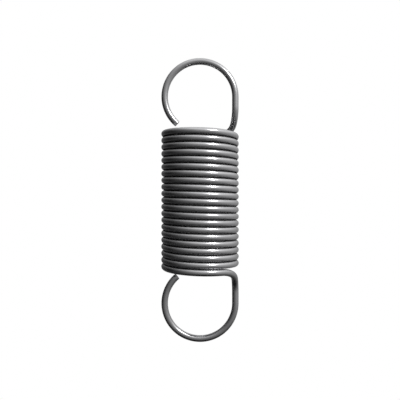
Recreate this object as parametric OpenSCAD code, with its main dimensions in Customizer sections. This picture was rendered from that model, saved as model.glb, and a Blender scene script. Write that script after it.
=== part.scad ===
// Close-wound extension spring: one length of round wire, wound left hand,
// with a full open hook at each end.
// The coil runs along Z, the hooks lie in the XZ plane and the upper one points up.
// Turning the spring half a turn about X swaps its two ends.

/* [Wire] */

// diameter of the spring wire
wire_d = 2; // [1.4:0.1:2.4]

/* [Coil] */

// mean diameter of the coil, from wire centre to wire centre
coil_d = 21.7; // [17:0.1:28]
// whole turns of the coil between its two end arcs
turns = 20; // [6:1:30]
// hairline left between neighbouring turns so that they stay one bare wire
turn_gap = 0.02; // [0.02:0.01:0.5]

/* [Hooks] */

// mean diameter of each hook's loop
hook_d = 21.7; // [17:0.1:28]
// straight length of each leg, from the end of its bend to beside the loop's centre
leg_length = 3.1; // [0.5:0.1:12]
// angle that each loop turns through, from its leg to its cut tip
hook_sweep = 230; // [180:1:235]
// angle before the leg at which the wire leaves the coil
leave_angle = 56; // [40:1:70]
// height that the wire takes to turn from the coil up into the leg
bend_rise = 7.6; // [7:0.1:9]
// share of the bend given to its first arc
bend_share = 1.15; // [0.8:0.05:1.3]
// how much thinner the wire is drawn by each arc of the bend
bend_thin = 0.006; // [0.004:0.002:0.02]

/* [Display] */

// part to show

/* [Hidden] */

wire_r = wire_d / 2;
coil_r = coil_d / 2;
hook_r = hook_d / 2;
pitch = wire_d + turn_gap;
// each turn is two flat half rings, tilted so that their ends meet
tilt = asin(pitch / (4 * coil_r));
// height of the coil's last whole turn, at its left side
coil_end = -turns / 2 * pitch;
// middle of the end arc's ring
ring_mid = [0, 0, coil_end - pitch / 4];
// how far one piece of the bent wire runs inside the next
lap = 0.05;
// facets in a whole ring and around the wire when meshed
ring_fn = 96;
wire_fn = 48;
steel = [0.56, 0.56, 0.57];

// place and direction at which the wire leaves the tilted ring
function in_ring(a) = [cos(a) * cos(tilt), sin(a), -cos(a) * sin(tilt)];
leave_out = in_ring(-leave_angle);
leave_dir = in_ring(90 - leave_angle);
leave_at = ring_mid + coil_r * leave_out;

// the bend is a pair of arcs that leaves the ring in line and ends straight down in the leg
down = [0, 0, -1];
leg_top = [hook_r, 0, leave_at[2] - bend_rise];
// distance from the middle of the spring to the centre of each loop
hook_rise = leg_length - leg_top[2];
span = leg_top - leave_at;
even = 2 * (1 - leave_dir * down);
run = (sqrt(pow(span * (leave_dir + down), 2) + even * (span * span)) - span * (leave_dir + down)) / even;
run_a = run * bend_share;
run_b = (span * span / 2 - run_a * (span * leave_dir)) / (span * down + run_a * (1 - leave_dir * down));
knee_a = leave_at + run_a * leave_dir;
knee_b = leg_top - run_b * down;
meet = (knee_a * run_b + knee_b * run_a) / (run_a + run_b);
meet_dir = (knee_b - knee_a) / norm(knee_b - knee_a);

// arc that leaves a point in a given direction and ends at another point
function lean(from, dir, to) = acos(dir * (to - from) / norm(to - from));
function arc_radius(from, dir, to) = norm(to - from) / (2 * sin(lean(from, dir, to)));
// direction from its start to its centre
function inward(from, dir, to) = let(side = (to - from) - dir * (to - from) * dir) side / norm(side);
// turn about the wire that faces the bend toward that centre
function roll(out, dir, inside) = atan2(inside * cross(out, dir), -inside * out);

first_r = arc_radius(leave_at, leave_dir, meet);
first_turn = 2 * lean(leave_at, leave_dir, meet);
first_in = inward(leave_at, leave_dir, meet);
first_roll = roll(leave_out, leave_dir, first_in);
meet_out = leave_dir * sin(first_turn) - first_in * cos(first_turn);
second_r = arc_radius(meet, meet_dir, leg_top);
second_turn = 2 * lean(meet, meet_dir, leg_top);
second_roll = roll(meet_out, meet_dir, inward(meet, meet_dir, leg_top));

// wire that starts at the origin along Y and bends toward minus X
module bent_wire(r, angle, thin) {
    translate([-r, 0, 0])
        rotate_extrude(angle = angle, $fn = ring_fn)
            translate([r, 0])
                circle(wire_r - thin / 2, $fn = wire_fn);
}

// the same, lapped into the pieces at both of its ends
module lapped_wire(r, angle, thin) {
    step = lap / r * 180 / PI;
    translate([-r, 0, 0])
        rotate([0, 0, -step])
            translate([r, 0, 0])
                bent_wire(r, angle + 2 * step, thin);
}

// frame at the place where the wire leaves the coil, with Y along the wire
module at_leave() {
    translate(ring_mid)
        rotate([0, tilt, 0])
            rotate([0, 0, -leave_angle])
                translate([coil_r, 0, 0])
                    children();
}

// frame at the far end of the first arc
module at_meet() {
    at_leave()
        rotate([0, first_roll, 0])
            translate([-first_r, 0, 0])
                rotate([0, 0, first_turn])
                    translate([first_r, 0, 0])
                        children();
}

// front of a turn, from its left side down toward its right side
module front_ring(z, angle) {
    translate([0, 0, z - pitch / 4])
        rotate([0, tilt, 0])
            rotate([0, 0, 180])
                translate([coil_r, 0, 0])
                    bent_wire(coil_r, angle, 0);
}

// back of a turn, from its right side down to its left side
module back_ring(z) {
    translate([0, 0, z - pitch / 4])
        rotate([0, -tilt, 0])
            translate([coil_r, 0, 0])
                bent_wire(coil_r, 180, 0);
}

// bend from the coil into the leg
module bend() {
    at_leave()
        rotate([0, first_roll, 0])
            lapped_wire(first_r, first_turn, bend_thin);
    at_meet()
        rotate([0, second_roll, 0])
            lapped_wire(second_r, second_turn, 2 * bend_thin);
}

// straight leg that runs up beside the loop's centre
module leg() {
    translate([hook_r, 0, -hook_rise])
        cylinder(h = leg_length, r = wire_r, $fn = wire_fn);
}

// open loop, square cut at its tip
module loop() {
    translate([0, 0, -hook_rise])
        rotate([-90, 0, 0])
            rotate_extrude(angle = hook_sweep, $fn = ring_fn)
                translate([hook_r, 0])
                    circle(wire_r, $fn = wire_fn);
}

// one end of the spring
module end_hook() {
    front_ring(coil_end, 180 - leave_angle);
    bend();
    leg();
    loop();
}

module spring_wire() {
    color(steel) {
        for (i = [0 : turns - 1]) {
            front_ring(-coil_end - i * pitch, 180);
            back_ring(-coil_end - (i + 0.5) * pitch);
        }
        end_hook();
        rotate([180, 0, 0])
            end_hook();
    }
}

spring_wire();
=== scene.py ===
"""Close-wound extension spring, bent from one length of drawn steel wire.

Wire Spring draws the wire from tip to tip, Steel Finish gives it its drawn and cut surfaces,
and Studio sets the floor, the net tent, the light and the camera.
"""

import math

import bmesh
import bpy
from bpy.props import FloatProperty, FloatVectorProperty, IntProperty, PointerProperty
from mathutils import Matrix, Vector


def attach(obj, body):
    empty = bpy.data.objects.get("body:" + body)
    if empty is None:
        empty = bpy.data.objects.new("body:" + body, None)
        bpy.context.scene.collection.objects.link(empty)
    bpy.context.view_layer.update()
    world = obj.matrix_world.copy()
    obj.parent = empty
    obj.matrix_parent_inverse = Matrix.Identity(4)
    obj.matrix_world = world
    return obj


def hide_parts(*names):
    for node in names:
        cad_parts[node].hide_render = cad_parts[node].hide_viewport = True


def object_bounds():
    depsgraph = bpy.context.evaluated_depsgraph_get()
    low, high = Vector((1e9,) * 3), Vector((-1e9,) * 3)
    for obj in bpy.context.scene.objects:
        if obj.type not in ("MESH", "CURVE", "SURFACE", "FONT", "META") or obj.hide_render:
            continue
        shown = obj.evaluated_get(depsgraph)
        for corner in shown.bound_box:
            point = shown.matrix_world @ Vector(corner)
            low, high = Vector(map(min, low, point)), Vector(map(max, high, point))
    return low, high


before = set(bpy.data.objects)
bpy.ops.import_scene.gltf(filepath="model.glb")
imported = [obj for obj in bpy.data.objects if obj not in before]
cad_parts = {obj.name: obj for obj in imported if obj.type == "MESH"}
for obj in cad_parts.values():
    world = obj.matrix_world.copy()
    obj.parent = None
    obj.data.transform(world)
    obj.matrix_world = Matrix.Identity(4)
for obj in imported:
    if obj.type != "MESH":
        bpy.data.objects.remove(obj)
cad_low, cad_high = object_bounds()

bl_info = {
    "name": "Extension Spring",
    "version": (1, 0, 0),
    "blender": (4, 5, 0),
    "location": "3D View > Sidebar > Spring",
    "description": "Models an extension spring with full open hooks and lights it in a studio",
    "category": "Object",
}

# one millimetre, in the metres that the scene is built in
MM = 0.001
CAD_NODE = "spring_wire"
WIRE_D = 2.0 * MM
SPRING_W = cad_high[0] - cad_low[0]
SPRING_H = cad_high[2] - cad_low[2]
TURNS = 20
TURN_GAP = 0.02 * MM
LEAVE_ANGLE = math.radians(56)
BEND_RISE = 7.6 * MM
# from the middle of the spring to the centre of each loop, and to where the wire leaves the coil
HOOK_RISE = (SPRING_H - SPRING_W) / 2
COIL_REACH = (WIRE_D + TURN_GAP) * (TURNS / 2 + (math.pi - LEAVE_ANGLE) / (2 * math.pi))
# the wire's map, and the distance along it and share of the way around it that the map is laid from
WIRE_MAP = "Wire"
ALONG = "along"
AROUND = "around"
# ends of wire nearer than this are joined
WELD = 0.008 * MM
# what is left between turns that lie on each other
TOUCH = 0.001 * MM
BEND_STEPS = 12
LEG_STEPS = 6
TIP_STEPS = 3
WORLD_UP = Vector((0, 0, 1))
ACROSS = Vector((0, 1, 0))
# girths of wire over which the painted shade of the grooves and of the hooks changes at the ends of
# the coil
END_FADE = 1.5
# where the painted shade in the grooves starts and where it is full on the upper and the lower
# side of a turn, as a share of the wire's radius above or below its middle
GROOVE_SHADE_ABOVE = (0.7, 1.0)
GROOVE_SHADE_BELOW = (0.6, 0.88)
# what the groove mask adds to the roughness, and what rubbing on the pin takes from it
GROOVE_DULLS = 0.4
PIN_POLISH = 0.12
# radius of the tent and how far above the floor it ends
TENT_RADIUS = 0.75
TENT_CLEARANCE = 0.05
# open share of the net: its mean toward the horizon, how it grows to the right and the front,
# and the terms of the cubic by which it grows upwards
NET_OPEN = 0.28
NET_ACROSS = (0.26, -0.05, 0)
NET_UPWARD = (1.5, 1.5, 1.0, 1.0)


class SpringSizes(bpy.types.PropertyGroup):
    """Sizes of the wire and of the shape that it is wound to."""

    wire_d: FloatProperty(
        name="Wire diameter",
        description="Thickness of the round wire",
        default=WIRE_D,
        min=1.4 * MM,
        max=2.4 * MM,
        precision=5,
        unit="LENGTH",
    )
    coil_d: FloatProperty(
        name="Coil diameter",
        description="Mean diameter of the coil, from wire centre to wire centre",
        default=SPRING_W - WIRE_D,
        min=17 * MM,
        max=28 * MM,
        precision=5,
        unit="LENGTH",
    )
    turns: IntProperty(
        name="Whole turns",
        description="Turns of the coil between its two end arcs",
        default=TURNS,
        min=6,
        max=30,
    )
    turn_gap: FloatProperty(
        name="Turn gap",
        description="Hairline by which the turns are wound apart before they settle on each other",
        default=TURN_GAP,
        min=0.02 * MM,
        max=0.5 * MM,
        precision=5,
        unit="LENGTH",
    )
    hook_d: FloatProperty(
        name="Hook diameter",
        description="Mean diameter of each hook's loop",
        default=SPRING_W - WIRE_D,
        min=17 * MM,
        max=28 * MM,
        precision=5,
        unit="LENGTH",
    )
    leg_length: FloatProperty(
        name="Leg length",
        description="Straight length of each leg, from its bend to beside the loop's centre",
        default=HOOK_RISE - COIL_REACH - BEND_RISE,
        min=0.5 * MM,
        max=12 * MM,
        precision=5,
        unit="LENGTH",
    )
    hook_sweep: FloatProperty(
        name="Hook sweep",
        description="Angle that each loop turns through, from its leg to its cut tip",
        default=math.radians(230),
        min=math.radians(180),
        max=math.radians(235),
        subtype="ANGLE",
    )
    leave_angle: FloatProperty(
        name="Leaving angle",
        description="Angle before the leg at which the wire leaves the coil",
        default=LEAVE_ANGLE,
        min=math.radians(40),
        max=math.radians(70),
        subtype="ANGLE",
    )
    bend_rise: FloatProperty(
        name="Bend rise",
        description="Height that the wire takes to turn from the coil into the leg",
        default=BEND_RISE,
        min=7 * MM,
        max=9 * MM,
        precision=5,
        unit="LENGTH",
    )
    bend_share: FloatProperty(
        name="Bend share",
        description="Share of the bend given to its first arc",
        default=1.15,
        min=0.8,
        max=1.3,
        subtype="FACTOR",
    )
    tip_round: FloatProperty(
        name="Tip rounding",
        description="Rounding of the rim of each cut tip",
        default=0.07 * MM,
        min=0.0,
        max=0.3 * MM,
        precision=5,
        unit="LENGTH",
    )
    sides: IntProperty(
        name="Sides",
        description="Faces around the wire",
        default=32,
        min=12,
        max=48,
    )
    steps: IntProperty(
        name="Steps in a turn",
        description="Faces along one turn of the coil",
        default=84,
        min=48,
        max=120,
    )


class SteelLooks(bpy.types.PropertyGroup):
    """Colours and finish of the steel, with the painted shade of its grooves and hooks."""

    tone: FloatVectorProperty(
        name="Steel",
        description="Colour of the drawn wire",
        default=(0.56, 0.56, 0.57),
        min=0.0,
        max=1.0,
        subtype="COLOR",
    )
    # painted shade: the hooks are painted darker than the coil by this factor, to take back light
    # that falls on them more than on the coil's close turns
    hook_painted_shade: FloatProperty(
        name="Hook shade",
        description="How light the steel of the hooks is beside that of the coil",
        default=0.85,
        min=0.5,
        max=1.0,
        subtype="FACTOR",
    )
    cut_tone: FloatVectorProperty(
        name="Cut steel",
        description="Colour of the sheared tips",
        default=(0.5, 0.5, 0.5),
        min=0.0,
        max=1.0,
        subtype="COLOR",
    )
    # painted shade: the near-black that the grooves between the turns are painted, where the turns
    # shade each other
    groove_shade_tone: FloatVectorProperty(
        name="Groove shade",
        description="Colour of the painted groove shade that lies between the turns",
        default=(0.05, 0.05, 0.05),
        min=0.0,
        max=1.0,
        subtype="COLOR",
    )
    polish: FloatProperty(
        name="Roughness",
        description="Mean roughness of the drawn wire",
        default=0.26,
        min=0.05,
        max=0.8,
        subtype="FACTOR",
    )
    line_depth: FloatProperty(
        name="Die line depth",
        description="Depth of the fine lines that the drawing die leaves along the wire",
        default=0.004 * MM,
        min=0.0,
        max=0.02 * MM,
        precision=6,
        unit="LENGTH",
    )


class StudioSetup(bpy.types.PropertyGroup):
    """Floor and camera."""

    camera_distance: FloatProperty(
        name="Camera distance",
        description="Distance from the camera to the axis of the coil",
        default=146.1 * MM,
        min=0.1,
        max=1.0,
        unit="LENGTH",
    )
    picture_width: FloatProperty(
        name="Picture width",
        description="Width that the picture covers at the axis of the coil",
        default=122.8 * MM,
        min=0.05,
        max=1.0,
        unit="LENGTH",
    )
    floor_drop: FloatProperty(
        name="Floor drop",
        description="Height of the hanging spring's middle above the floor",
        default=0.3,
        min=0.1,
        max=1.0,
        unit="LENGTH",
    )
    floor_radius: FloatProperty(
        name="Floor radius",
        description="Radius of the round floor",
        default=0.55,
        min=0.2,
        max=2.0,
        unit="LENGTH",
    )
    floor_tone: FloatVectorProperty(
        name="Floor",
        description="Colour of the floor",
        default=(0.8, 0.8, 0.8),
        min=0.0,
        max=1.0,
        subtype="COLOR",
    )


class WireWalk:
    """The open end of a wire, moved along its path one stretch at a time."""

    def __init__(self, bm, point, facing, radius, sides, length):
        self.bm = bm
        self.sides = sides
        self.length = length
        turn = WORLD_UP.rotation_difference(facing).to_matrix().to_4x4()
        place = Matrix.Translation(point) @ turn @ Matrix.Rotation(math.pi / 2, 4, "Z")
        circle = bmesh.ops.create_circle(bm, segments=sides, radius=radius, matrix=place)
        for number, vert in enumerate(circle["verts"]):
            vert[bm.verts.layers.float[ALONG]] = length
            vert[bm.verts.layers.float[AROUND]] = number / sides
        self.end = list({edge for vert in circle["verts"] for edge in vert.link_edges})

    def go(self, centre, axis, angle, radius, rise, steps):
        """Turns the end about an axis while it slides by the rise, and leaves wire behind it."""
        first = len(self.bm.verts)
        made = bmesh.ops.spin(
            self.bm,
            geom=self.end,
            cent=centre,
            axis=axis,
            dvec=rise / steps,
            angle=angle,
            steps=steps,
            use_merge=False,
            use_normal_flip=False,
            use_duplicate=False,
        )
        self.end = [item for item in made["geom_last"] if isinstance(item, bmesh.types.BMEdge)]
        along = self.bm.verts.layers.float[ALONG]
        step_length = math.hypot(radius * angle, rise.length) / steps
        self.bm.verts.ensure_lookup_table()
        for number, vert in enumerate(self.bm.verts[first:]):
            vert[along] = self.length + step_length * (number // self.sides + 1)
        self.length += step_length * steps


class Bend:
    """One arc of wire that leaves a point in a given direction and ends at another point."""

    def __init__(self, start, direction, finish):
        chord = finish - start
        lean = direction.angle(chord)
        side = (chord - direction * chord.dot(direction)).normalized()
        self.radius = chord.length / (2 * math.sin(lean))
        self.angle = 2 * lean
        self.centre = start + side * self.radius
        self.axis = direction.cross(side)


def bend_pair(start, direction, finish, final, share):
    """Two arcs in line with each other, from the coil into the leg."""
    span = finish - start
    both = direction + final
    even = 2 * (1 - direction.dot(final))
    run = (math.sqrt(span.dot(both) ** 2 + even * span.dot(span)) - span.dot(both)) / even
    run_a = run * share
    turned = span.dot(final) + run_a * (1 - direction.dot(final))
    run_b = (span.dot(span) / 2 - run_a * span.dot(direction)) / turned
    knee_a = start + direction * run_a
    knee_b = finish - final * run_b
    meet = (knee_a * run_b + knee_b * run_a) / (run_a + run_b)
    onward = (knee_b - knee_a).normalized()
    return Bend(start, direction, meet), Bend(meet, onward, finish)


def wind_turn(bm, sizes, pitch):
    """Winds the topmost whole turn of the coil."""
    radius = sizes.coil_d / 2
    start = Vector((-radius, 0, pitch * sizes.turns / 2))
    facing = Vector((0, -2 * math.pi * radius, -pitch))
    length = -math.hypot(2 * math.pi * radius, pitch) * sizes.turns / 2
    walk = WireWalk(bm, start, facing, sizes.wire_d / 2, sizes.sides, length)
    walk.go(Vector(), WORLD_UP, 2 * math.pi, radius, WORLD_UP * -pitch, sizes.steps)


def stack_turns(bm, turn, sizes, pitch):
    """Copies the first turn downwards until the coil is complete."""
    along = bm.verts.layers.float[ALONG]
    turn_length = math.hypot(math.pi * sizes.coil_d, pitch)
    for number in range(1, sizes.turns):
        copy = bmesh.ops.duplicate(bm, geom=turn)["geom"]
        verts = [item for item in copy if isinstance(item, bmesh.types.BMVert)]
        bmesh.ops.translate(bm, verts=verts, vec=WORLD_UP * -pitch * number)
        for vert in verts:
            vert[along] += turn_length * number


def bend_hook(bm, sizes, pitch):
    """Bends the wire from the last whole turn into the lower hook, down to its cut tip."""
    radius = sizes.coil_d / 2
    hook_radius = sizes.hook_d / 2
    leave = sizes.leave_angle
    sweep = sizes.hook_sweep
    step = 2 * math.pi / sizes.steps
    start = Vector((-radius, 0, -pitch * sizes.turns / 2))
    facing = Vector((0, -2 * math.pi * radius, -pitch))
    last_angle = math.pi - leave
    fall = WORLD_UP * -pitch * last_angle / (2 * math.pi)
    leave_at = Vector((radius * math.cos(leave), -radius * math.sin(leave), start.z + fall.z))
    leave_dir = Vector((math.sin(leave), math.cos(leave), -pitch / (2 * math.pi * radius)))
    leg_top = Vector((hook_radius, 0, leave_at.z - sizes.bend_rise))
    leg = WORLD_UP * -sizes.leg_length
    loop = Vector((0, 0, leg_top.z)) + leg

    length = math.hypot(2 * math.pi * radius, pitch) * sizes.turns / 2
    walk = WireWalk(bm, start, facing, sizes.wire_d / 2, sizes.sides, length)
    walk.go(Vector(), WORLD_UP, last_angle, radius, fall, math.ceil(last_angle / step))
    arcs = bend_pair(leave_at, leave_dir.normalized(), leg_top, -WORLD_UP, sizes.bend_share)
    for arc in arcs:
        walk.go(arc.centre, arc.axis, arc.angle, arc.radius, Vector(), BEND_STEPS)
    walk.go(loop, ACROSS, 0, 0, leg, LEG_STEPS)
    walk.go(loop, ACROSS, sweep, hook_radius, Vector(), math.ceil(sweep / step))


def copy_hook(bm, hook):
    """Copies the lower hook to the top, half a turn about X away."""
    copy = bmesh.ops.duplicate(bm, geom=hook)["geom"]
    verts = [item for item in copy if isinstance(item, bmesh.types.BMVert)]
    half_turn = Matrix.Rotation(math.pi, 3, "X")
    bmesh.ops.rotate(bm, verts=verts, cent=Vector(), matrix=half_turn)
    along = bm.verts.layers.float[ALONG]
    around = bm.verts.layers.float[AROUND]
    for vert in verts:
        vert[along] = -vert[along]
        vert[around] = -vert[around] % 1.0


def drawn_after(bm, counts):
    """Everything in the mesh past the given numbers of vertices, edges and faces."""
    verts, edges, faces = counts
    return [*bm.verts[verts:], *bm.edges[edges:], *bm.faces[faces:]]


def draw_wire(bm, sizes):
    """Draws the whole spring with open ends."""
    bm.verts.layers.float.new(ALONG)
    bm.verts.layers.float.new(AROUND)
    pitch = sizes.wire_d + sizes.turn_gap
    wind_turn(bm, sizes, pitch)
    turn = drawn_after(bm, (0, 0, 0))
    counts = (len(bm.verts), len(bm.edges), len(bm.faces))
    bend_hook(bm, sizes, pitch)
    hook = drawn_after(bm, counts)
    stack_turns(bm, turn, sizes, pitch)
    copy_hook(bm, hook)
    ends = [vert for vert in bm.verts if vert.is_boundary]
    bmesh.ops.remove_doubles(bm, verts=ends, dist=WELD)


def settle_turns(bm, sizes, coil_length):
    """Rounds the wire out above and below, so that each turn lies on the next."""
    along = bm.verts.layers.float[ALONG]
    around = bm.verts.layers.float[AROUND]
    rows = [[] for number in range(sizes.sides)]
    for vert in bm.verts:
        if abs(vert[along]) < coil_length / 2:
            rows[round(vert[around] * sizes.sides) % sizes.sides].append(vert)
    reach = (sizes.turn_gap - TOUCH) / 2
    for number, row in enumerate(rows):
        share = math.sin(2 * math.pi * number / sizes.sides)
        bmesh.ops.translate(bm, verts=row, vec=WORLD_UP * -share * reach)


def loop_level(sizes):
    """Distance from the middle of the spring to the centre of each loop."""
    turns = sizes.turns / 2 + (math.pi - sizes.leave_angle) / (2 * math.pi)
    return (sizes.wire_d + sizes.turn_gap) * turns + sizes.bend_rise + sizes.leg_length


def wound_length(sizes):
    """Length of wire in one turn of the coil, and in the whole coil with its end arcs."""
    turn = math.hypot(math.pi * sizes.coil_d, sizes.wire_d + sizes.turn_gap)
    return turn, turn * (sizes.turns + 1 - sizes.leave_angle / math.pi)


def finish_tips(bm, rounding):
    """Closes both tips square, rounds their rims and marks them as cut."""
    rims = [edge for edge in bm.edges if edge.is_boundary]
    for cap in bmesh.ops.holes_fill(bm, edges=rims, sides=0)["faces"]:
        cap.material_index = 1
    rounded = bmesh.ops.bevel(
        bm,
        geom=rims,
        affect="EDGES",
        offset_type="OFFSET",
        offset=rounding,
        segments=TIP_STEPS,
        profile=0.5,
        material=-1,
        clamp_overlap=True,
    )
    for face in bm.faces:
        face.smooth = face.material_index == 0
    for face in rounded["faces"]:
        face.smooth = True


def lay_map(bm, girth):
    """Unrolls the wire into a map: U is the distance along it in girths, V the way around it."""
    along = bm.verts.layers.float[ALONG]
    around = bm.verts.layers.float[AROUND]
    layer = bm.loops.layers.uv.new(WIRE_MAP)
    for face in bm.faces:
        turns = [loop.vert[around] for loop in face.loops]
        split = max(turns) - min(turns) > 0.5
        for loop, turn in zip(face.loops, turns):
            if split and turn < 0.5:
                turn += 1.0
            loop[layer].uv = (loop.vert[along] / girth, turn)


class SPRING_OT_wire(bpy.types.Operator):
    """Model the spring from one length of wire, in place of the plain solid"""

    bl_idname = "spring.wire"
    bl_label = "Wire Spring"
    bl_options = {"REGISTER", "UNDO"}

    def execute(self, context):
        sizes = context.scene.spring_sizes
        bm = bmesh.new()
        draw_wire(bm, sizes)
        settle_turns(bm, sizes, wound_length(sizes)[1])
        lay_map(bm, math.pi * sizes.wire_d)
        finish_tips(bm, sizes.tip_round)
        bmesh.ops.recalc_face_normals(bm, faces=bm.faces)
        mesh = bpy.data.meshes.new("drawn_wire")
        bm.to_mesh(mesh)
        bm.free()
        spring = bpy.data.objects.new("drawn_wire", mesh)
        context.scene.collection.objects.link(spring)
        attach(spring, "root")
        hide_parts(CAD_NODE)
        return {"FINISHED"}


def add_node(tree, kind, place, **settings):
    """Adds a shader node at a place in its tree and sets what it is given."""
    node = tree.nodes.new(kind)
    node.location = place
    for name, value in settings.items():
        setattr(node, name, value)
    return node


def grain_group():
    """Fine grain that changes slowly over the surface: a value between two limits."""
    tree = bpy.data.node_groups.new("Steel Grain", "ShaderNodeTree")
    for name, kind, default in (
        ("Vector", "NodeSocketVector", None),
        ("Scale", "NodeSocketFloat", 1.0),
        ("Detail", "NodeSocketFloat", 3.0),
        ("Low", "NodeSocketFloat", 0.0),
        ("High", "NodeSocketFloat", 1.0),
    ):
        socket = tree.interface.new_socket(name, in_out="INPUT", socket_type=kind)
        if default is not None:
            socket.default_value = default
    tree.interface.new_socket("Value", in_out="OUTPUT", socket_type="NodeSocketFloat")
    start = add_node(tree, "NodeGroupInput", (-600, 0))
    noise = add_node(tree, "ShaderNodeTexNoise", (-350, 0))
    spread = add_node(tree, "ShaderNodeMapRange", (-100, 0))
    end = add_node(tree, "NodeGroupOutput", (150, 0))
    spread.inputs["From Min"].default_value = 0.3
    spread.inputs["From Max"].default_value = 0.7
    link = tree.links.new
    link(start.outputs["Vector"], noise.inputs["Vector"])
    link(start.outputs["Scale"], noise.inputs["Scale"])
    link(start.outputs["Detail"], noise.inputs["Detail"])
    link(noise.outputs["Fac"], spread.inputs["Value"])
    link(start.outputs["Low"], spread.inputs["To Min"])
    link(start.outputs["High"], spread.inputs["To Max"])
    link(spread.outputs["Result"], end.inputs["Value"])
    return tree


def place_grain(tree, group, place, vector, scale, detail, low, high):
    """Places the grain group in a material with its own values."""
    node = add_node(tree, "ShaderNodeGroup", place)
    node.node_tree = group
    node.inputs["Scale"].default_value = scale
    node.inputs["Detail"].default_value = detail
    node.inputs["Low"].default_value = low
    node.inputs["High"].default_value = high
    tree.links.new(vector, node.inputs["Vector"])
    return node.outputs["Value"]


def scaled_tone(tree, tone, place, factor):
    """The steel's colour, made lighter or darker by a value."""
    node = add_node(tree, "ShaderNodeMix", place, data_type="RGBA", blend_type="MULTIPLY")
    node.inputs["Factor"].default_value = 1.0
    node.inputs["A"].default_value = (*tone, 1.0)
    tree.links.new(factor, node.inputs["B"])
    return node.outputs["Result"]


def new_material(name):
    """A material with an empty tree, one metal shader and an output."""
    material = bpy.data.materials.new(name)
    material.use_nodes = True
    tree = material.node_tree
    tree.nodes.clear()
    shader = add_node(tree, "ShaderNodeBsdfPrincipled", (400, 0))
    output = add_node(tree, "ShaderNodeOutputMaterial", (700, 0))
    tree.links.new(shader.outputs["BSDF"], output.inputs["Surface"])
    shader.inputs["Metallic"].default_value = 1.0
    return material, tree, shader


def wire_place(tree):
    """Distance along the wire in girths, and the way around it from the outside of the coil."""
    uv = add_node(tree, "ShaderNodeUVMap", (-1700, -200), uv_map=WIRE_MAP)
    split = add_node(tree, "ShaderNodeSeparateXYZ", (-1500, -200))
    tree.links.new(uv.outputs["UV"], split.inputs["Vector"])
    return split.outputs["X"], split.outputs["Y"]


def around_wire(tree, wire, lines, along):
    """Coordinates rolled round the wire: a circle across it, stretched along it, with no seam."""
    angle = add_node(tree, "ShaderNodeMath", (-1300, -300), operation="MULTIPLY")
    angle.inputs[1].default_value = 2 * math.pi
    cosine = add_node(tree, "ShaderNodeMath", (-1100, -200), operation="COSINE")
    sine = add_node(tree, "ShaderNodeMath", (-1100, -400), operation="SINE")
    join = add_node(tree, "ShaderNodeCombineXYZ", (-900, -300))
    stretch = add_node(tree, "ShaderNodeVectorMath", (-700, -300), operation="MULTIPLY")
    stretch.inputs[1].default_value = (lines, lines, along)
    link = tree.links.new
    link(wire[1], angle.inputs[0])
    link(angle.outputs["Value"], cosine.inputs[0])
    link(angle.outputs["Value"], sine.inputs[0])
    link(cosine.outputs["Value"], join.inputs["X"])
    link(sine.outputs["Value"], join.inputs["Y"])
    link(wire[0], join.inputs["Z"])
    link(join.outputs["Vector"], stretch.inputs[0])
    return stretch.outputs["Vector"]


def math_node(tree, place, operation, first, second=None, clamp=False):
    """A sum, product or other step between two values."""
    node = add_node(tree, "ShaderNodeMath", place, operation=operation, use_clamp=clamp)
    for socket, value in zip(node.inputs, (first, second)):
        if isinstance(value, bpy.types.NodeSocket):
            tree.links.new(value, socket)
        elif value is not None:
            socket.default_value = value
    return node.outputs["Value"]


def ramp_node(tree, place, value, start, end):
    """Zero up to the start, one from the end on, and smooth between them."""
    node = add_node(tree, "ShaderNodeMapRange", place, interpolation_type="SMOOTHSTEP")
    node.inputs["From Min"].default_value = start
    node.inputs["From Max"].default_value = end
    tree.links.new(value, node.inputs["Value"])
    return node.outputs["Result"]


def groove_mask(tree, wire, coil_length, turn_length):
    """One along the lines where a turn lies on the next, and zero on the free wire; it places the
    painted shade and the added roughness in the grooves.
    """
    around = math_node(tree, (-1300, 700), "MULTIPLY", wire[1], 2 * math.pi)
    rise = math_node(tree, (-1100, 700), "SINE", around)
    half = coil_length / 2
    sides = []
    below = (1, *GROOVE_SHADE_BELOW, -half, half - turn_length)
    above = (-1, *GROOVE_SHADE_ABOVE, turn_length - half, half)
    for row, (sign, edge, full, first, last) in enumerate((below, above)):
        height = 900 - 400 * row
        side = math_node(tree, (-900, height), "MULTIPLY", rise, sign)
        line = ramp_node(tree, (-700, height), side, edge, full)
        begun = ramp_node(tree, (-900, height - 160), wire[0], first, first + END_FADE)
        gone = ramp_node(tree, (-700, height - 160), wire[0], last - END_FADE, last)
        there = math_node(tree, (-500, height - 160), "SUBTRACT", begun, gone, clamp=True)
        sides.append(math_node(tree, (-300, height), "MULTIPLY", line, there))
    return math_node(tree, (-100, 700), "ADD", *sides, clamp=True)


def paint_hook_shade(tree, wire, tones, coil_length, shade):
    """The wire's changes of tone, with painted shade that makes it darker from the end of the coil
    on.
    """
    reach = math_node(tree, (-1300, 1100), "ABSOLUTE", wire[0])
    half = coil_length / 2
    hook = ramp_node(tree, (-1100, 1100), reach, half - END_FADE, half + END_FADE)
    loss = math_node(tree, (-900, 1100), "MULTIPLY", hook, 1.0 - shade)
    kept = math_node(tree, (-700, 1100), "SUBTRACT", 1.0, loss)
    return math_node(tree, (-500, 1100), "MULTIPLY", tones, kept)


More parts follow.
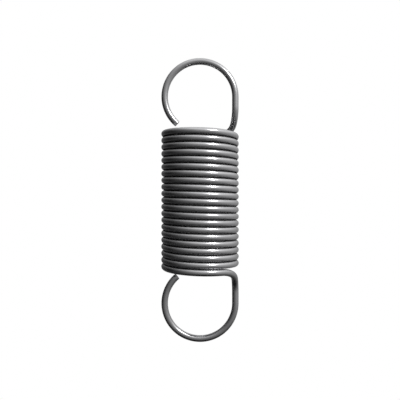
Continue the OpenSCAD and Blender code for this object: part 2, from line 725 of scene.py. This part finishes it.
def bearing_mask(tree, place, sizes):
    """One on the inside of each loop where it hangs on its pin, and zero elsewhere."""
    split = add_node(tree, "ShaderNodeSeparateXYZ", (-1700, -900))
    tree.links.new(place, split.inputs["Vector"])
    level = math_node(tree, (-1500, -1000), "ABSOLUTE", split.outputs["Z"])
    above = math_node(tree, (-1300, -1000), "SUBTRACT", level, loop_level(sizes))
    flat = add_node(tree, "ShaderNodeCombineXYZ", (-1100, -900))
    tree.links.new(split.outputs["X"], flat.inputs["X"])
    tree.links.new(above, flat.inputs["Y"])
    reach = add_node(tree, "ShaderNodeVectorMath", (-900, -900), operation="LENGTH")
    tree.links.new(flat.outputs["Vector"], reach.inputs[0])
    loop = sizes.hook_d / 2
    rubbed = loop - 0.42 * sizes.wire_d
    whole = loop - 0.3 * sizes.wire_d
    outer = ramp_node(tree, (-700, -900), reach.outputs["Value"], rubbed, whole)
    inner = math_node(tree, (-500, -900), "SUBTRACT", 1.0, outer)
    top = ramp_node(tree, (-500, -1060), above, 0.72 * loop, 0.9 * loop)
    return math_node(tree, (-300, -900), "MULTIPLY", inner, top)


def drawn_steel(looks, sizes, grain):
    """Bright drawn wire: fine die lines along it, over slow changes of polish and tone, with
    painted shade in the grooves between turns and on the hooks.
    """
    material, tree, shader = new_material("drawn_steel")
    girth = math.pi * sizes.wire_d
    turn_length, coil_length = (length / girth for length in wound_length(sizes))
    wire = wire_place(tree)
    rolled = around_wire(tree, wire, lines=9.0, along=0.35)
    groove_shade_and_dulling = groove_mask(tree, wire, coil_length, turn_length)
    place = add_node(tree, "ShaderNodeTexCoord", (-1900, 300))
    worn = bearing_mask(tree, place.outputs["Object"], sizes)
    unworn = math_node(tree, (-100, -700), "SUBTRACT", 1.0, worn)
    lines = place_grain(
        tree, grain, (-450, -300), rolled, scale=1.0, detail=4.0, low=0.0, high=1.0
    )
    left = math_node(tree, (-100, -500), "MULTIPLY", lines, unworn)
    polish = place_grain(
        tree, grain, (-450, -100), rolled, scale=0.45, detail=3.0, low=-0.05, high=0.05
    )
    point = place.outputs["Object"]
    patches = place_grain(
        tree, grain, (-450, 100), point, scale=260.0, detail=3.0, low=-0.03, high=0.03
    )
    tones = place_grain(
        tree, grain, (-450, 300), point, scale=90.0, detail=4.0, low=0.9, high=1.05
    )
    both = math_node(tree, (-200, 0), "ADD", polish, patches)
    clean = math_node(tree, (-50, 0), "ADD", both, looks.polish)
    dulled = math_node(tree, (-50, 150), "MULTIPLY", groove_shade_and_dulling, GROOVE_DULLS)
    dull = math_node(tree, (100, 0), "ADD", clean, dulled)
    rubbed = math_node(tree, (100, -150), "MULTIPLY", worn, PIN_POLISH)
    rough = math_node(tree, (250, 0), "SUBTRACT", dull, rubbed)
    # painted shade: the steel's colour is mixed toward near-black in the grooves, where the turns
    # shade each other
    tone = add_node(tree, "ShaderNodeMix", (200, 300), data_type="RGBA")
    tone.inputs["B"].default_value = (*looks.groove_shade_tone, 1.0)
    bump = add_node(tree, "ShaderNodeBump", (100, -300))
    bump.inputs["Strength"].default_value = 0.6
    bump.inputs["Distance"].default_value = looks.line_depth
    link = tree.links.new
    link(groove_shade_and_dulling, tone.inputs["Factor"])
    # painted shade: the tone is painted darker on the hooks than on the coil
    shaded = paint_hook_shade(tree, wire, tones, coil_length, looks.hook_painted_shade)
    link(scaled_tone(tree, looks.tone, (0, 300), shaded), tone.inputs["A"])
    link(tone.outputs["Result"], shader.inputs["Base Color"])
    link(rough, shader.inputs["Roughness"])
    link(left, bump.inputs["Height"])
    link(bump.outputs["Normal"], shader.inputs["Normal"])
    return material


def cut_steel(looks, grain):
    """The sheared tip: a duller face with a torn grain."""
    material, tree, shader = new_material("cut_steel")
    place = add_node(tree, "ShaderNodeTexCoord", (-900, 0))
    point = place.outputs["Object"]
    grains = place_grain(
        tree, grain, (-450, -200), point, scale=5000.0, detail=4.0, low=0.0, high=1.0
    )
    tones = place_grain(
        tree, grain, (-450, 200), point, scale=2500.0, detail=2.0, low=0.8, high=1.1
    )
    rough = place_grain(
        tree, grain, (-450, 0), point, scale=2000.0, detail=2.0, low=0.4, high=0.6
    )
    bump = add_node(tree, "ShaderNodeBump", (100, -300))
    bump.inputs["Strength"].default_value = 0.7
    bump.inputs["Distance"].default_value = 4 * looks.line_depth
    link = tree.links.new
    link(scaled_tone(tree, looks.cut_tone, (0, 300), tones), shader.inputs["Base Color"])
    link(rough, shader.inputs["Roughness"])
    link(grains, bump.inputs["Height"])
    link(bump.outputs["Normal"], shader.inputs["Normal"])
    return material


class SPRING_OT_finish(bpy.types.Operator):
    """Give the wire its drawn surface and the tips their cut faces"""

    bl_idname = "spring.finish"
    bl_label = "Steel Finish"
    bl_options = {"REGISTER", "UNDO"}

    def execute(self, context):
        spring = bpy.data.objects.get("drawn_wire")
        if spring is None:
            raise RuntimeError("model the wire first")
        looks = context.scene.spring_looks
        sizes = context.scene.spring_sizes
        grain = grain_group()
        spring.data.materials.clear()
        spring.data.materials.append(drawn_steel(looks, sizes, grain))
        spring.data.materials.append(cut_steel(looks, grain))
        return {"FINISHED"}


def seen_rays(tree, place):
    """One for the rays of the camera, of metal and of glass, and zero for the others."""
    path = add_node(tree, "ShaderNodeLightPath", place)
    across, up = place
    camera, metal, glass = (
        path.outputs[name] for name in ("Is Camera Ray", "Is Glossy Ray", "Is Transmission Ray")
    )
    either = math_node(tree, (across + 200, up), "MAXIMUM", camera, metal)
    return math_node(tree, (across + 400, up), "MAXIMUM", either, glass)


def pale_floor(tone, radius):
    """Matt paper that keeps the shadow in its middle and ends in white at its rim."""
    material = bpy.data.materials.new("pale_floor")
    material.use_nodes = True
    tree = material.node_tree
    paper = tree.nodes["Principled BSDF"]
    paper.inputs["Base Color"].default_value = (*tone, 1.0)
    paper.inputs["Roughness"].default_value = 1.0
    paper.inputs["Specular IOR Level"].default_value = 0.0
    output = tree.nodes["Material Output"]
    place = add_node(tree, "ShaderNodeTexCoord", (-900, 300))
    reach = add_node(tree, "ShaderNodeVectorMath", (-700, 300), operation="LENGTH")
    rim = ramp_node(tree, (-500, 300), reach.outputs["Value"], 0.45 * radius, 0.95 * radius)
    seen = seen_rays(tree, (-700, 600))
    share = math_node(tree, (-300, 300), "MULTIPLY", rim, seen)
    white = add_node(tree, "ShaderNodeEmission", (0, 200))
    mix = add_node(tree, "ShaderNodeMixShader", (300, 200))
    link = tree.links.new
    link(place.outputs["Object"], reach.inputs[0])
    link(share, mix.inputs[0])
    link(paper.outputs["BSDF"], mix.inputs[1])
    link(white.outputs["Emission"], mix.inputs[2])
    link(mix.outputs["Shader"], output.inputs["Surface"])
    return material


def round_floor(tone, radius, drop):
    """A round floor below the hanging spring."""
    bm = bmesh.new()
    bmesh.ops.create_circle(bm, cap_ends=True, segments=96, radius=radius)
    mesh = bpy.data.meshes.new("floor")
    bm.to_mesh(mesh)
    bm.free()
    mesh.materials.append(pale_floor(tone, radius))
    floor = bpy.data.objects.new("floor", mesh)
    floor.location = (0, 0, -drop)
    bpy.context.scene.collection.objects.link(floor)


def open_net(tree, toward):
    """Share of the net that lets light through, which grows to the right and upwards."""
    along = add_node(tree, "ShaderNodeVectorMath", (-800, 150), operation="DOT_PRODUCT")
    along.inputs[1].default_value = NET_ACROSS
    tree.links.new(toward, along.inputs[0])
    across = math_node(tree, (-600, 150), "ADD", along.outputs["Value"], NET_OPEN)
    split = add_node(tree, "ShaderNodeSeparateXYZ", (-1400, -200))
    tree.links.new(toward, split.inputs["Vector"])
    upward = NET_UPWARD[0]
    for number, term in enumerate(NET_UPWARD[1:]):
        place = 400 * number - 1200
        grown = math_node(tree, (place, -200), "MULTIPLY", upward, split.outputs["Z"])
        upward = math_node(tree, (place + 200, -200), "ADD", grown, term)
    return math_node(tree, (-200, 0), "MULTIPLY", across, upward, clamp=True)


def graded_net():
    """Black net that lets more light through in some directions than in others."""
    material = bpy.data.materials.new("graded_net")
    material.use_nodes = True
    tree = material.node_tree
    tree.nodes.clear()
    place = add_node(tree, "ShaderNodeTexCoord", (-1600, 0))
    toward = add_node(tree, "ShaderNodeVectorMath", (-1400, 0), operation="NORMALIZE")
    black = add_node(tree, "ShaderNodeBsdfDiffuse", (-200, -200))
    black.inputs["Color"].default_value = (0, 0, 0, 1)
    clear = add_node(tree, "ShaderNodeBsdfTransparent", (-200, -350))
    mix = add_node(tree, "ShaderNodeMixShader", (50, 0))
    output = add_node(tree, "ShaderNodeOutputMaterial", (250, 0))
    link = tree.links.new
    link(place.outputs["Object"], toward.inputs[0])
    link(open_net(tree, toward.outputs["Vector"]), mix.inputs[0])
    link(black.outputs["BSDF"], mix.inputs[1])
    link(clear.outputs["BSDF"], mix.inputs[2])
    link(mix.outputs["Shader"], output.inputs["Surface"])
    return material


def graded_tent(radius, drop):
    """A tent of graded net round the spring, which only its reflections show."""
    bm = bmesh.new()
    bmesh.ops.create_icosphere(bm, subdivisions=5, radius=radius)
    cut = bmesh.ops.bisect_plane(
        bm,
        geom=[*bm.verts, *bm.edges, *bm.faces],
        plane_co=(0, 0, -drop),
        plane_no=(0, 0, -1),
        clear_outer=True,
    )
    rim = [item for item in cut["geom_cut"] if isinstance(item, bmesh.types.BMEdge)]
    bmesh.ops.holes_fill(bm, edges=rim, sides=0)
    mesh = bpy.data.meshes.new("tent")
    bm.to_mesh(mesh)
    bm.free()
    mesh.materials.append(graded_net())
    tent = bpy.data.objects.new("tent", mesh)
    tent.visible_camera = False
    tent.visible_diffuse = False
    tent.visible_shadow = False
    bpy.context.scene.collection.objects.link(tent)


def direction_to(azimuth, elevation):
    """Direction from the spring, turned from the camera towards the right and raised."""
    azimuth = math.radians(azimuth)
    elevation = math.radians(elevation)
    flat = math.cos(elevation)
    return Vector((math.sin(azimuth) * flat, -math.cos(azimuth) * flat, math.sin(elevation)))


def soft_light(name, azimuth, elevation, distance, size, power):
    """A square softbox that faces the spring."""
    light = bpy.data.lights.new(name, "AREA")
    light.shape = "SQUARE"
    light.size = size
    light.energy = power
    lamp = bpy.data.objects.new(name, light)
    toward = direction_to(azimuth, elevation)
    lamp.location = toward * distance
    lamp.rotation_euler = toward.to_track_quat("Z", "Y").to_euler()
    bpy.context.scene.collection.objects.link(lamp)


def white_world(fill):
    """White where the camera, metal and glass look, and a dim fill for everything else."""
    world = bpy.data.worlds.new("studio_white")
    world.use_nodes = True
    tree = world.node_tree
    tree.nodes.clear()
    strength = add_node(tree, "ShaderNodeMapRange", (50, 200))
    strength.inputs["To Min"].default_value = fill
    strength.inputs["To Max"].default_value = 1.0
    back = add_node(tree, "ShaderNodeBackground", (300, 0))
    back.inputs["Color"].default_value = (1, 1, 1, 1)
    output = add_node(tree, "ShaderNodeOutputWorld", (550, 0))
    link = tree.links.new
    link(seen_rays(tree, (-600, 200)), strength.inputs["Value"])
    link(strength.outputs["Result"], back.inputs["Strength"])
    link(back.outputs["Background"], output.inputs["Surface"])
    bpy.context.scene.world = world


class SPRING_OT_studio(bpy.types.Operator):
    """Set the floor, the net tent, the light and the camera"""

    bl_idname = "spring.studio"
    bl_label = "Studio"
    bl_options = {"REGISTER", "UNDO"}

    def execute(self, context):
        studio = context.scene.spring_studio
        round_floor(studio.floor_tone, studio.floor_radius, studio.floor_drop)
        graded_tent(TENT_RADIUS, studio.floor_drop - TENT_CLEARANCE)
        white_world(fill=0.6)
        soft_light("key", azimuth=44, elevation=39, distance=0.6, size=0.12, power=1.7)
        camera = bpy.data.objects.new("camera", bpy.data.cameras.new("camera"))
        sensor = camera.data.sensor_width
        camera.data.lens = sensor * studio.camera_distance / studio.picture_width
        camera.data.clip_start = 10 * MM
        camera.location = (0, -studio.camera_distance, 0)
        camera.rotation_euler = (math.pi / 2, 0, 0)
        context.scene.collection.objects.link(camera)
        context.scene.camera = camera
        context.scene.view_settings.view_transform = "Standard"
        return {"FINISHED"}


class SPRING_PT_panel(bpy.types.Panel):
    """Sizes, looks and buttons of the spring"""

    bl_idname = "SPRING_PT_panel"
    bl_label = "Extension Spring"
    bl_space_type = "VIEW_3D"
    bl_region_type = "UI"
    bl_category = "Spring"

    def draw(self, context):
        scene = context.scene
        for title, group, button in (
            ("Sizes", scene.spring_sizes, "spring.wire"),
            ("Steel", scene.spring_looks, "spring.finish"),
            ("Studio", scene.spring_studio, "spring.studio"),
        ):
            box = self.layout.box()
            box.label(text=title)
            for name in group.__annotations__:
                box.prop(group, name)
            box.operator(button)


CLASSES = (
    SpringSizes,
    SteelLooks,
    StudioSetup,
    SPRING_OT_wire,
    SPRING_OT_finish,
    SPRING_OT_studio,
    SPRING_PT_panel,
)


def register():
    for cls in CLASSES:
        bpy.utils.register_class(cls)
    bpy.types.Scene.spring_sizes = PointerProperty(type=SpringSizes)
    bpy.types.Scene.spring_looks = PointerProperty(type=SteelLooks)
    bpy.types.Scene.spring_studio = PointerProperty(type=StudioSetup)


def unregister():
    del bpy.types.Scene.spring_studio
    del bpy.types.Scene.spring_looks
    del bpy.types.Scene.spring_sizes
    for cls in reversed(CLASSES):
        bpy.utils.unregister_class(cls)


def main():
    register()
    bpy.ops.spring.wire()
    bpy.ops.spring.finish()
    bpy.ops.spring.studio()


if __name__ == "__main__":
    main()
